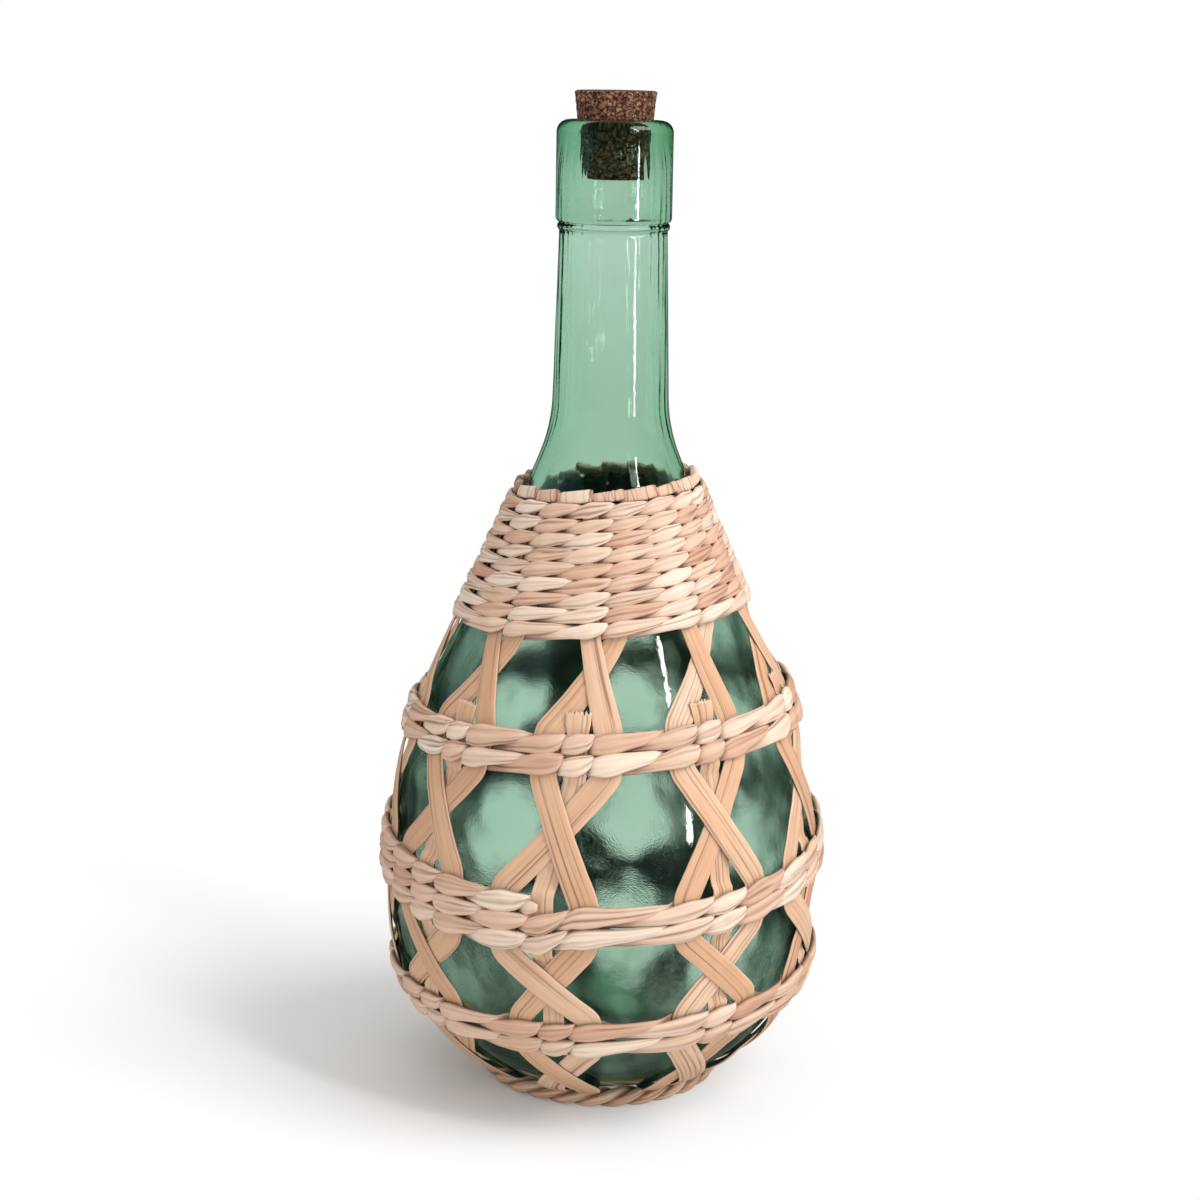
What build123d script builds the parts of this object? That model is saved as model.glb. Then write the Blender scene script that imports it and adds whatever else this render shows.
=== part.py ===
from build123d import *
import math
import os

# Green glass bottle with a tapered cork, held in an open cage of dried leaf.
# Millimetres, +Z up. The origin is the centre of the foot ring's underside.
# Angles are in degrees round the bottle from its front, -Y, and grow towards +X.

# Glass bottle
body_height = 245.0
neck_length = 62.5
finish_height = 35.0
finish_stand_out = 1.45
finish_rounding_share = 0.86
finish_low_slope = 2.5
bead_height = 3.0
bead_bulge = 0.9
neck_top_radius = 18.95
neck_low_radius = 20.7
body_radius = 77.1
heel_angle = 14.0
punt_radius_share = 0.75
punt_depth = 22.0
body_wall = 4.0
neck_low_wall = 5.0
lip_bevel = 1.5
wall_growth_power = 3
widest_share = 0.3

# Where the body's arcs meet: share of the height from foot to neck, share of the swell
body_shape_shares = [
    (0.0, 0.342),
    (0.015, 0.491),
    (0.202, 0.983),
    (0.575, 0.765),
    (0.601, 0.714),
    (0.922, 0.073),
    (1.0, 0.0),
]

# Cork stopper
cork_top_radius = 14.4
cork_low_radius = 10.9
cork_length = 30.0
cork_stand_out = 10.0
cork_edge_bevel = 0.8
cork_clearance = 0.05

# Leaf strips of the cage
stake_width = 9.6
stake_rim_width = 5.2
stake_collar_width = 7.0
stake_thickness = 0.8
inner_stake_width = 7.6
inner_stake_thickness = 0.6
inner_stake_low_stub = 3.0
inner_stake_top_stub = 6.0
inner_stake_drop_length = 2.6
front_weaver_thickness = 1.2
back_weaver_thickness = 0.8
front_weaver_height_share = 0.61
back_weaver_height_share = 0.23
row_gap_share = 0.046

# Air between layers that lie on each other
inner_stake_clearance = 0.4
back_weaver_clearance = 0.45
strip_clearance = 0.55
crossing_clearance = 0.4
front_weaver_clearance = 0.6
weaver_side_gap = 0.5
foot_ring_clearance = 0.4
base_clearance = 0.6

# Levels of the cage. Each is tilted: it rises towards the right and drops towards the front.
column_count = 9
collar_distance_below_neck = 32.9
collar_height = 43.1
collar_foot_rise, collar_top_rise = 3.9, 2.2
band_1_rise, band_1_drop = 3.5, 0.0
band_2_rise, band_2_drop = 2.0, 8.0
band_3_rise, band_3_drop = 3.0, 3.0
collar_row_count = 9
band_row_count = 2
band_row_pitch = 6.8
band_margin = 0.8

# The bands' heights, as shares of the way from the glass's foot to the collar
band_1_share, band_2_share, band_3_share = 0.787, 0.494, 0.219

# Band 2 has a third row round the left side, between these angles
third_row_start, third_row_end, third_row_ramp = 200.0, 345.0, 8.0

# Columns drift round the bottle as they go down: the middle of each, at each level
collar_angles = [-1, 39, 76, 115, 156, 196, 236, 272, 318]
band_1_angles = [-8, 31, 72, 111, 151, 191, 232, 277, 313]
band_2_angles = [-15, 32, 68, 108, 149, 190, 233, 275, 308]
band_3_angles = [-12, 32, 70, 110, 151, 191, 232, 271, 308]
collar_top_spread, collar_foot_spread = 9.5, 5.0
collar_spread_power = 2
band_1_spread, band_2_spread, band_3_spread, foot_spread = 9.0, 10.5, 9.2, 7.5

# Where the crossing strips of a zone are held apart, as shares of the zone's height
collar_zone_shares = [0.25, 0.58, 0.9]
collar_shares = [0, 0.3, 0.65, 1]
open_zone_shares = [0.26, 0.5, 0.74]
foot_zone_shares = [0.22, 0.5, 0.78]
inner_stake_zone_shares = [0.36, 0.64]

# Rim border, foot ring and base
border_length_share = 0.97
border_swell_shares = [(0, 0.3), (0.3, 1), (0.7, 1), (1, 0.3)]
border_thickness = 2.6
border_height = 3.8
border_rise = 2.3
border_step = 0.8
foot_ring_stand_out = 0.5
foot_ring_width = 9.0
foot_ring_height = 5.7
foot_ring_bevel = 2.0
base_end_width, base_mid_width, base_rim_width = 2.2, 4.6, 6.4
heel_station_height = 3.4

# Where the strips are held under the base, as shares of the heel's radius
base_end_share, base_mid_share, base_rim_share = 0.375, 0.65, 0.925

# Heights, added up from the ring that the bottle stands on
glass_foot_height = foot_ring_height + foot_ring_clearance + stake_thickness + base_clearance
neck_foot_height = glass_foot_height + body_height
neck_top_height = neck_foot_height + neck_length
rim_height = neck_top_height + finish_height
collar_top_height = neck_foot_height - collar_distance_below_neck
collar_foot_height = collar_top_height - collar_height

# How far the middle of each layer stands out from the glass
inner_stake_lift = inner_stake_clearance + inner_stake_thickness / 2
under_lift = inner_stake_lift + inner_stake_thickness / 2 + strip_clearance + stake_thickness / 2
over_lift = under_lift + stake_thickness + crossing_clearance
back_weaver_lift = back_weaver_clearance + back_weaver_thickness / 2
band_lift = back_weaver_lift + back_weaver_thickness / 2 + strip_clearance + stake_thickness / 2
front_weaver_lift = band_lift + stake_thickness / 2 + front_weaver_clearance + front_weaver_thickness / 2
base_drop = base_clearance + stake_thickness / 2


# Outside of the glass, which everything else lies on

neck_slope = (neck_top_radius - neck_low_radius) / neck_length


def smooth_arcs(points):
    """Arcs through points of an outline, each going on smoothly from the one before."""
    direction = Vector(math.cos(math.radians(heel_angle)), math.sin(math.radians(heel_angle)))
    arcs = []
    for start, end in zip(points, points[1:]):
        arcs.append(TangentArc(start, end, tangent=direction))
        direction = arcs[-1] % 1
    return arcs


body_points = [
    (neck_low_radius + swell * (body_radius - neck_low_radius), glass_foot_height + share * body_height)
    for share, swell in body_shape_shares
]
body_arcs = smooth_arcs(body_points)
heel_radius = body_points[0][0]
punt_radius = punt_radius_share * heel_radius
foot_ring_radius = heel_radius + foot_ring_stand_out


def on_outside(height):
    """Outer radius at a height between foot and collar, and the radial and upward parts of its normal."""
    if height >= neck_foot_height:
        radius = neck_low_radius + neck_slope * (height - neck_foot_height)
        length = math.hypot(1, neck_slope)
        return radius, 1 / length, -neck_slope / length
    arc = next(arc for arc in body_arcs if (arc @ 1).Y > height)
    centre = arc.arc_center
    bulge = 1 if centre.X < (arc @ 0.5).X else -1
    up = (height - centre.Y) / arc.radius
    across = math.sqrt(1 - up ** 2)
    return centre.X + bulge * across * arc.radius, across, bulge * up


def cork_radius_at(height):
    """Radius of the seated cork at a height."""
    share = (rim_height + cork_stand_out - height) / cork_length
    return cork_top_radius + share * (cork_low_radius - cork_top_radius)


mouth_radius = cork_radius_at(rim_height - lip_bevel) + cork_clearance
finish_radius = neck_top_radius + finish_stand_out
finish_top_rounding = finish_rounding_share * (finish_radius - mouth_radius - lip_bevel)


def wall_at(height):
    """Thickness of the glass: thin in the body and growing towards the mouth."""
    if height >= neck_foot_height:
        share = (height - neck_foot_height) / neck_length
        return neck_low_wall + share * (neck_top_radius - mouth_radius - neck_low_wall)
    widest_height = glass_foot_height + widest_share * body_height
    share = max(0, (height - widest_height) / (neck_foot_height - widest_height))
    return body_wall + (neck_low_wall - body_wall) * share ** wall_growth_power


# Glass bottle

def glass_bottle():
    """One blown piece: body with a pushed-up bottom, tapering neck and thick collar at the mouth."""
    inner = []
    for radius, height in body_points:
        _, across, up = on_outside(height)
        inner.append((radius - wall_at(height) * across, height - wall_at(height) * up))
    punt_edge = (punt_radius, glass_foot_height)
    inner_punt_edge = (punt_radius, inner[0][1])
    bead_foot = (neck_top_radius - neck_slope * bead_height, neck_top_height - bead_height)
    bead_crest = (neck_top_radius + bead_bulge, neck_top_height - bead_height / 2)
    neck_top = (neck_top_radius, neck_top_height)
    finish_foot = (finish_radius, neck_top_height + finish_low_slope)
    finish_centre = (finish_radius - finish_top_rounding, rim_height - finish_top_rounding)
    finish_side = (finish_radius, finish_centre[1])
    mouth_edge = (mouth_radius + lip_bevel, rim_height)
    outline = [
        TangentArc((0, glass_foot_height + punt_depth), punt_edge, tangent=(1, 0)),
        Line(punt_edge, body_points[0]),
        *body_arcs,
        Polyline(body_points[-1], bead_foot, bead_crest, neck_top, finish_foot, finish_side),
        CenterArc(finish_centre, finish_top_rounding, 0, 90),
        Polyline(
            (finish_centre[0], rim_height),
            mouth_edge,
            (mouth_radius, rim_height - lip_bevel),
            (mouth_radius, neck_top_height),
            inner[-1],
        ),
        *smooth_arcs(inner),
        Line(inner[0], inner_punt_edge),
        TangentArc((0, inner[0][1] + punt_depth), inner_punt_edge, tangent=(1, 0)),
        Line((0, inner[0][1] + punt_depth), (0, glass_foot_height + punt_depth)),
    ]
    return revolve(Plane.XZ * make_face(outline), Axis.Z)


# Cork stopper

def cork_stopper():
    """Tapered plug of pressed cork, seated in the mouth by its taper."""
    plug = Cone(cork_low_radius, cork_top_radius, cork_length, align=(Align.CENTER, Align.CENTER, Align.MIN))
    plug = chamfer(plug.edges().filter_by(GeomType.CIRCLE), cork_edge_bevel)
    return Pos(0, 0, rim_height + cork_stand_out - cork_length) * plug


# Strips: one solid with a given cross-section at each station along it

def joined(sections, closed=False):
    """A solid of flat faces through a row of cross-sections, each a list of corners in the same order."""
    pairs = list(zip(sections, sections[1:]))
    if closed:
        pairs.append((sections[-1], sections[0]))
    outlines = [] if closed else [sections[0], sections[-1]]
    for before, after in pairs:
        for corner, near in enumerate(before):
            following = (corner + 1) % len(before)
            outlines.append([near, before[following], after[corner]])
            outlines.append([before[following], after[following], after[corner]])
    return Solid(Shell([Face(Wire.make_polygon(outline)) for outline in outlines]))


def spot(angle, height, lift):
    """Point at a lift out from the glass, with the directions out of the glass and up along it."""
    glass_radius, across, up = on_outside(height)
    sine, cosine = math.sin(math.radians(angle)), math.cos(math.radians(angle))
    radius = glass_radius + lift * across
    place = Vector(radius * sine, -radius * cosine, height + lift * up)
    return place, Vector(across * sine, -across * cosine, up), Vector(-up * sine, up * cosine, across)


def base_spot(angle, radius):
    """Point under the glass, with the direction down and away from it."""
    sine, cosine = math.sin(math.radians(angle)), math.cos(math.radians(angle))
    place = Vector(radius * sine, -radius * cosine, glass_foot_height - base_drop)
    return place, Vector(0, 0, -1), Vector(sine, -cosine, 0)


def flat_strip(stations, thickness):
    """A leaf strip along stations of (spot, width), square to its own path."""
    sections = []
    for index, ((place, out, _), width) in enumerate(stations):
        before = stations[max(index - 1, 0)][0][0]
        after = stations[min(index + 1, len(stations) - 1)][0][0]
        side = out.cross(after - before).normalized() * (width / 2)
        rise = out * (thickness / 2)
        sections.append([place - side - rise, place + side - rise, place + side + rise, place - side + rise])
    return joined(sections)


# Levels of the cage

def level(height, rise, drop, angle):
    """Height of a tilted level where it passes an angle."""
    return height + rise * math.sin(math.radians(angle)) - drop * math.cos(math.radians(angle))


def between(low, high, share):
    """Value part of the way from low to high."""
    return low + (high - low) * share


def collar_foot(angle):
    return level(collar_foot_height, collar_foot_rise, 0, angle)


def collar_top(angle):
    return level(collar_top_height, collar_top_rise, 0, angle)


def band_1(angle):
    height = between(glass_foot_height, collar_foot_height, band_1_share)
    return level(height, band_1_rise, band_1_drop, angle)


def band_2(angle):
    height = between(glass_foot_height, collar_foot_height, band_2_share)
    return level(height, band_2_rise, band_2_drop, angle)


def band_3(angle):
    height = between(glass_foot_height, collar_foot_height, band_3_share)
    return level(height, band_3_rise, band_3_drop, angle)


def row_count_at(band, angle):
    """Number of rows of a band at an angle: band 2 goes from two to three where its third row runs."""
    if band != band_2:
        return band_row_count
    turn = angle % 360
    before = 1 + (turn - third_row_start) / third_row_ramp
    after = 1 + (third_row_end - turn) / third_row_ramp
    return band_row_count + max(0, min(1, before, after))


def band_half(band, angle):
    """Half the height of a band at an angle."""
    return row_count_at(band, angle) * band_row_pitch / 2 + band_margin


bands = [
    (band_1, band_1_angles, band_1_spread, 1),
    (band_2, band_2_angles, band_2_spread, -1),
    (band_3, band_3_angles, band_3_spread, 1),
]


# Main stakes

def stake_path(column, side):
    """Stations of one stake from the base to the rim. side is -1 for the left one at the collar."""
    foot_angle = band_3_angles[column] + side * foot_spread
    stations = [
        (base_spot(foot_angle, base_end_share * heel_radius), base_end_width),
        (base_spot(foot_angle, base_mid_share * heel_radius), base_mid_width),
        (base_spot(foot_angle, base_rim_share * heel_radius), base_rim_width),
    ]
    angle = foot_angle
    height = glass_foot_height + heel_station_height
    stations.append((spot(angle, height, band_lift), stake_width))
    shares = foot_zone_shares
    over = side > 0
    for band, angles, spread, turn in reversed(bands):
        next_angle = angles[column] - side * turn * spread
        next_height = band(next_angle) - band_half(band, next_angle)
        for share in shares:
            place = spot(
                between(angle, next_angle, share),
                between(height, next_height, share),
                over_lift if over else under_lift,
            )
            stations.append((place, stake_width))
        angle = next_angle
        height = band(angle) + band_half(band, angle)
        stations.append((spot(angle, next_height, band_lift), stake_width))
        stations.append((spot(angle, height, band_lift), stake_width))
        shares = open_zone_shares
        over = not over
    next_angle = collar_angles[column] + side * collar_foot_spread
    next_height = collar_foot(next_angle)
    for share in collar_zone_shares:
        place = spot(
            between(angle, next_angle, share),
            between(height, next_height, share),
            over_lift if over else under_lift,
        )
        stations.append((place, between(stake_width, stake_collar_width, share)))
    for share in collar_shares:
        angle, height = collar_stake_place(column, side, share)
        stations.append((spot(angle, height, band_lift), between(stake_collar_width, stake_rim_width, share)))
    return stations


def collar_stake_place(column, side, share):
    """Angle and height of a stake in the collar, a share of the way up it."""
    eased_share = 1 - (1 - share) ** collar_spread_power
    angle = collar_angles[column] + side * between(collar_foot_spread, collar_top_spread, eased_share)
    return angle, between(collar_foot(angle), collar_top(angle), share)


def main_stake(column, side):
    """One of the two stakes of a column, crossing its neighbour in every open zone."""
    return flat_strip(stake_path(column, side), stake_thickness)


# Inner stakes

def inner_stake(column):
    """Short stake behind the crossings, from under band 3 to a stub over band 1."""
    places = []
    for band, angles, _, _ in reversed(bands):
        angle = angles[column]
        low = band(angle) - band_half(band, angle)
        if places:
            last_angle, last_height, _ = places[-1]
            drop_share = inner_stake_drop_length / (low - last_height)
            for share in (drop_share, *inner_stake_zone_shares, 1 - drop_share):
                place = (between(last_angle, angle, share), between(last_height, low, share))
                places.append((*place, inner_stake_lift))
        else:
            places.append((angle, low - inner_stake_low_stub, inner_stake_lift))
        places.append((angle, low, band_lift))
        places.append((angle, band(angle) + band_half(band, angle), band_lift))
    angle, height, _ = places[-1]
    places.append((angle, height + inner_stake_drop_length, inner_stake_lift))
    places.append((angle, height + inner_stake_top_stub, inner_stake_lift))
    return flat_strip([(spot(*place), inner_stake_width) for place in places], inner_stake_thickness)


# Twined rows: weavers that pass in front of one stake and behind the next, turning round each other

def weaver_section(angle, height, up_shift, tall, in_front):
    """Three corners of a weaver: a flat side towards the glass and a ridge away from it."""
    lift = front_weaver_lift if in_front else back_weaver_lift
    thickness = front_weaver_thickness if in_front else back_weaver_thickness
    centre, out, along = spot(angle, height, lift)
    centre = centre + along * up_shift
    return [
        centre - out * (thickness / 2) - along * (tall / 2),
        centre + out * (thickness / 2),
        centre - out * (thickness / 2) + along * (tall / 2),
    ]


def twined_row(spots, pitch, closed=True):
    """Weavers of one row over spots of (angle, height, half width): two, or one that goes round twice."""
    front_height, back_height = pitch * front_weaver_height_share, pitch * back_weaver_height_share
    free_height = pitch * (1 - row_gap_share)
    goes_twice = closed and len(spots) % 2 == 1
    weavers = []
    for start in range(1 if goes_twice else 2):
        sections = []
        for turn in range(2 * len(spots) if goes_twice else len(spots)):
            angle, height, half_width = spots[turn % len(spots)]
            in_front = (turn + start) % 2 == 0
            tall = front_height if in_front else back_height
            shift = (free_height - tall) / 2 if in_front else (tall - free_height) / 2
            half_angle = math.degrees((half_width + weaver_side_gap) / on_outside(height)[0])
            sections.append(weaver_section(angle - half_angle, height, -shift, tall, in_front))
            sections.append(weaver_section(angle + half_angle, height, shift, tall, in_front))
        weavers.append(joined(sections, closed))
    return weavers


def collar_row(number):
    """One of the collar's twined rows, counted from its foot."""
    share = (number - 0.5) / collar_row_count
    spots = []
    for column in range(column_count):
        for side in (-1, 1):
            angle, height = collar_stake_place(column, side, share)
            width = between(stake_collar_width, stake_rim_width, share)
            spots.append((angle, height, width / 2))
    spots.sort()
    middle = between(collar_foot_height, collar_top_height, share)
    slope_length = collar_height / on_outside(middle)[1]
    return twined_row(spots, slope_length / collar_row_count)


def band_row(band, angles, spread, number):
    """One of a band's twined rows, counted from its foot. The third goes only part of the way round."""
    spots = []
    for middle in angles:
        for offset, width in ((-spread, stake_width), (0, inner_stake_width), (spread, stake_width)):
            angle = (middle + offset) % 360
            if number > band_row_count and not third_row_start <= angle <= third_row_end:
                continue
            height = band(angle)
            shift = (number - (row_count_at(band, angle) + 1) / 2) * band_row_pitch
            spots.append((angle, height + shift * on_outside(height)[1], width / 2))
    spots.sort()
    return twined_row(spots, band_row_pitch, closed=number <= band_row_count)


# Rim border

def rim_border():
    """The stake ends, each folded down and laid along the top edge, rising over the next one."""
    places = []
    for column in range(column_count):
        for side in (-1, 1):
            places.append(collar_stake_place(column, side, 1))
    places.sort()
    bundles = []
    for (angle, height), (next_angle, _) in zip(places, places[1:] + places[:1]):
        sweep = ((next_angle - angle) % 360) * border_length_share
        sections = []
        for share, fullness in border_swell_shares:
            place, out, along = spot(angle + sweep * share, height, band_lift)
            centre = place + along * (border_rise + border_step * share)
            high = along * (border_height * fullness / 2)
            deep = out * (border_thickness * fullness / 2)
            low_pair = [centre - high - deep, centre - high + deep]
            sections.append(low_pair + [centre + high + deep, centre + high - deep])
        bundles.append(joined(sections))
    return bundles


# Foot ring and base

def foot_ring():
    """Ring that the bottle stands on, cut flat underneath."""
    section = Rectangle(foot_ring_width, foot_ring_height)
    section = chamfer(section.vertices(), foot_ring_bevel)
    return revolve(Plane.XZ * Pos(foot_ring_radius, foot_ring_height / 2) * section, Axis.Z)


# Parts

def write(name, shapes):
    """Write one node."""
    solids = shapes if isinstance(shapes, list) else [shapes]
    export_step(solids[0] if len(solids) == 1 else Compound(children=solids), f"parts/{name}.step")


os.makedirs("parts", exist_ok=True)
write("glass_bottle", glass_bottle())
write("cork_stopper", cork_stopper())
for column in range(column_count):
    write(f"stake_{column + 1}_left", main_stake(column, -1))
    write(f"stake_{column + 1}_right", main_stake(column, 1))
write("inner_stakes", [inner_stake(column) for column in range(column_count)])
for number in range(1, collar_row_count + 1):
    write(f"collar_row_{number}", collar_row(number))
for band_number, (band, angles, spread, turn) in enumerate(bands, start=1):
    for number in range(1, band_row_count + 1):
        write(f"band_{band_number}_row_{number}", band_row(band, angles, spread, number))
write("band_2_row_3", band_row(band_2, band_2_angles, band_2_spread, band_row_count + 1))
write("rim_border", rim_border())
write("foot_ring", foot_ring())
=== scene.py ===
import math

import bpy
import numpy as np
from mathutils import Matrix, Vector, noise


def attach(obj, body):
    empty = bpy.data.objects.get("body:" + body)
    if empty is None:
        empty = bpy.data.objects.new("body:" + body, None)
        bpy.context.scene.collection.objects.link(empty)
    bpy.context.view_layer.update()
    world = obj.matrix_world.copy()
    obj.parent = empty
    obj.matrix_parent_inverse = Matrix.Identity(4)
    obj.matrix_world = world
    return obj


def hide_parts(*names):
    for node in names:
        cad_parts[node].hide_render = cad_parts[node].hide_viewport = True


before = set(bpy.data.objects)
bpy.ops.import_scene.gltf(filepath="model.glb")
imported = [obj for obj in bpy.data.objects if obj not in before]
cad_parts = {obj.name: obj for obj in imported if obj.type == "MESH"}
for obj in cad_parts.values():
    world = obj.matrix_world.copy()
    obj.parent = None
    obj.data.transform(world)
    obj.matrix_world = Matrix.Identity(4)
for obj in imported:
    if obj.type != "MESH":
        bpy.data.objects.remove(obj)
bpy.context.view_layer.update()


# Glass bottle
# Blown in a mould from pale green glass, in one piece from the pushed-up bottom to the thick
# band at the mouth. Its wall is uneven on the inside, so what is seen through it wavers.
# Sizes are in millimetres, and angles in degrees round the bottle from its front towards +X.

MM = 0.001
rim_height, neck_top_height, neck_foot_height, glass_foot_height = 350.0, 315.0, 252.5, 7.5
finish_radius, finish_top_rounding, finish_low_rounding = 20.4, 4.2, 1.6
bead_height, bead_bulge, bead_sink = 3.0, 0.8, 0.1
neck_top_radius, under_bead_spread, neck_low_radius, body_radius = 18.95, 0.08, 20.7, 77.1
heel_radius, heel_angle, base_rim_radius = 40.0, 14.0, 36.0
punt_radius, punt_depth = 30.0, 22.0
body_wall, neck_low_wall, widest_share = 4.0, 5.0, 0.3
mouth_radius, bore_radius, lip_rounding = 13.3, 15.5, 1.4
throat_foot_depth, throat_top_depth, throat_count = 20.0, 3.0, 14
outside_step, inside_step, lip_step = 2.0, 2.5, 1.0
glass_segments = 224
body_shape_shares = [(0.015, 0.491), (0.202, 0.983), (0.575, 0.765), (0.601, 0.714),
                     (0.922, 0.073), (1.0, 0.0)]


def arc_through(start, direction, end, step):
    """Points of an arc that leaves start in a direction and ends at end, and its last direction."""
    chord = complex(*end) - complex(*start)
    half_turn = math.remainder(math.atan2(chord.imag, chord.real) - direction, 2 * math.pi)
    count = max(2, round(abs(chord) / step))
    points = []
    for place in range(1, count + 1):
        share = place / count
        reach = abs(chord) * math.sin(half_turn * share) / math.sin(half_turn)
        turn = direction + half_turn * share
        points.append((start[0] + reach * math.cos(turn), start[1] + reach * math.sin(turn)))
    return points, direction + 2 * half_turn


def smooth_outline(corners, first_angle, step):
    """Points along arcs through corners, each arc going on smoothly from the one before."""
    points, direction = [corners[0]], math.radians(first_angle)
    for start, end in zip(corners, corners[1:]):
        more, direction = arc_through(start, direction, end, step)
        points += more
    return points


def straight(start, end, step):
    """Points on a line, without its start."""
    count = max(1, round(math.dist(start, end) / step))
    return [tuple(np.add(start, np.subtract(end, start) * (place / count)))
            for place in range(1, count + 1)]


def rounding(centre, radius, first, last, count):
    """Points on a circle, from a first to a last angle."""
    turns = np.radians(np.linspace(first, last, count))
    return [(centre[0] + radius * math.cos(turn), centre[1] + radius * math.sin(turn))
            for turn in turns]


body_corners = [(heel_radius, glass_foot_height)] + [
    (neck_low_radius + swell * (body_radius - neck_low_radius),
     glass_foot_height + share * (neck_foot_height - glass_foot_height))
    for share, swell in body_shape_shares
]
outside = smooth_outline(body_corners, heel_angle, outside_step)
under_bead = (neck_top_radius + under_bead_spread, neck_top_height - bead_height)
outside += straight(outside[-1], under_bead, outside_step)

# The line that the leaf follows: from the middle of the base out to the heel and up to the neck
base_line = [(0.0, glass_foot_height), (heel_radius / 2, glass_foot_height)]
leaf_line = np.array(base_line + outside)
leaf_line_length = np.concatenate([[0], np.cumsum(np.hypot(*np.diff(leaf_line, axis=0).T))])
leaf_line_slope = np.gradient(leaf_line, leaf_line_length, axis=0)
leaf_line_slope /= np.hypot(*leaf_line_slope.T)[:, None]


def along_glass(height):
    """Distance along the leaf's line at a height on the body."""
    body = slice(len(base_line), None)
    return float(np.interp(height, leaf_line[body, 1], leaf_line_length[body]))


def on_glass(angle, distance, lift):
    """Points at a lift off the glass, with the directions out of it and up along it, as arrays."""
    angle, distance, lift = np.broadcast_arrays(np.radians(angle), distance, lift)
    radius, height, across, up = (
        np.interp(distance, leaf_line_length, column)
        for column in (*leaf_line.T, leaf_line_slope[:, 1], -leaf_line_slope[:, 0])
    )
    sine, cosine = np.sin(angle), np.cos(angle)
    radius = radius + lift * across
    place = np.stack([radius * sine, -radius * cosine, height + lift * up], axis=-1)
    out = np.stack([across * sine, -across * cosine, up], axis=-1)
    along = np.stack([-up * sine, up * cosine, across], axis=-1)
    return place, out, along


def wall_at(height):
    """Thickness of the glass: thin in the body and growing towards the neck."""
    widest = glass_foot_height + widest_share * (neck_foot_height - glass_foot_height)
    share = max(0, (height - widest) / (neck_foot_height - widest))
    return body_wall + (neck_low_wall - body_wall) * share ** 3


def inside_corners():
    """Corners of the glass's inside, each square in from a corner of its outside."""
    corners = []
    for corner_radius, corner_height in body_corners:
        distance = along_glass(corner_height)
        across = np.interp(distance, leaf_line_length, leaf_line_slope[:, 1])
        up = -np.interp(distance, leaf_line_length, leaf_line_slope[:, 0])
        wall = wall_at(corner_height)
        corners.append((corner_radius - wall * across, corner_height - wall * up))
    return corners


def mesh_object(name, points, faces, smooth=True):
    """A mesh piece from points in millimetres."""
    mesh = bpy.data.meshes.new(name)
    mesh.from_pydata([tuple(point) for point in np.asarray(points) * MM], [], faces)
    mesh.validate()
    mesh.polygons.foreach_set("use_smooth", [smooth] * len(mesh.polygons))
    piece = bpy.data.objects.new(name, mesh)
    bpy.context.scene.collection.objects.link(piece)
    return piece


def ring_faces(ring_count, corner_count, closed_rings=False):
    """Quads between rings of corners, the rings one after another."""
    faces = []
    for ring in range(ring_count if closed_rings else ring_count - 1):
        here, following = ring * corner_count, (ring + 1) % ring_count * corner_count
        for corner in range(corner_count):
            beside = (corner + 1) % corner_count
            faces.append((here + corner, here + beside, following + beside, following + corner))
    return faces


def turned(profile, segments, waver):
    """A turned shape with its ends on the axis. waver(point, out, radius, height) moves points."""
    points = [(0, 0, profile[0][1])]
    for radius, height in profile[1:-1]:
        for angle in np.linspace(0, 2 * np.pi, segments, endpoint=False):
            out = Vector((math.sin(angle), -math.cos(angle), 0))
            point = out * radius + Vector((0, 0, height))
            points.append(point + out * waver(point, out, radius, height))
    points.append((0, 0, profile[-1][1]))
    faces = [tuple(corner + 1 for corner in face)
             for face in ring_faces(len(profile) - 2, segments)]
    last = len(points) - 1
    for corner in range(segments):
        beside = (corner + 1) % segments
        faces.append((0, 1 + beside, 1 + corner))
        faces.append((last, last - segments + corner, last - segments + beside))
    return points, faces


inside = smooth_outline(inside_corners(), heel_angle, inside_step)
throat_foot, throat_top = rim_height - throat_foot_depth, rim_height - throat_top_depth
inside_neck = straight(inside[-1], (bore_radius, neck_top_height), outside_step)
inside_neck += straight(inside_neck[-1], (bore_radius, throat_foot), outside_step)
throat_shares = (1 + np.cos(np.linspace(0, np.pi, throat_count)[1:])) / 2
inside_neck += [(mouth_radius + share * (bore_radius - mouth_radius), height) for share, height
                in zip(throat_shares, np.linspace(throat_foot, throat_top, throat_count)[1:])]
inside_neck += straight(inside_neck[-1], (mouth_radius, rim_height - lip_rounding), lip_step)
punt_top = glass_foot_height + punt_depth
punt_ball = (punt_radius ** 2 + punt_depth ** 2) / (2 * punt_depth)
punt_turn = math.degrees(math.asin(punt_radius / punt_ball))
punt = rounding((0, punt_top - punt_ball), punt_ball, 90, 90 - punt_turn, 14)
inner_punt = [(radius, height + body_wall) for radius, height in punt]
bead_centre = (outside[-1][0] - bead_sink, neck_top_height - bead_height / 2)
finish = [(radius - bead_height / 2 + bead_bulge + bead_sink, height)
          for radius, height in rounding(bead_centre, bead_height / 2, -80, 80, 7)]
finish += rounding((finish_radius - finish_low_rounding, neck_top_height + finish_low_rounding),
                   finish_low_rounding, -70, 0, 5)
finish += straight(finish[-1], (finish_radius, rim_height - finish_top_rounding), outside_step)
finish += rounding((finish_radius - finish_top_rounding, rim_height - finish_top_rounding),
                   finish_top_rounding, 10, 90, 8)
finish += rounding((mouth_radius + lip_rounding, rim_height - lip_rounding),
                   lip_rounding, 90, 170, 6)
outer_skin = punt + [(base_rim_radius, glass_foot_height)] + outside + finish
inner_skin = inside_neck[::-1] + inside[-2::-1] + inner_punt[::-1]
inner_spots = set(inner_skin)
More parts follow.
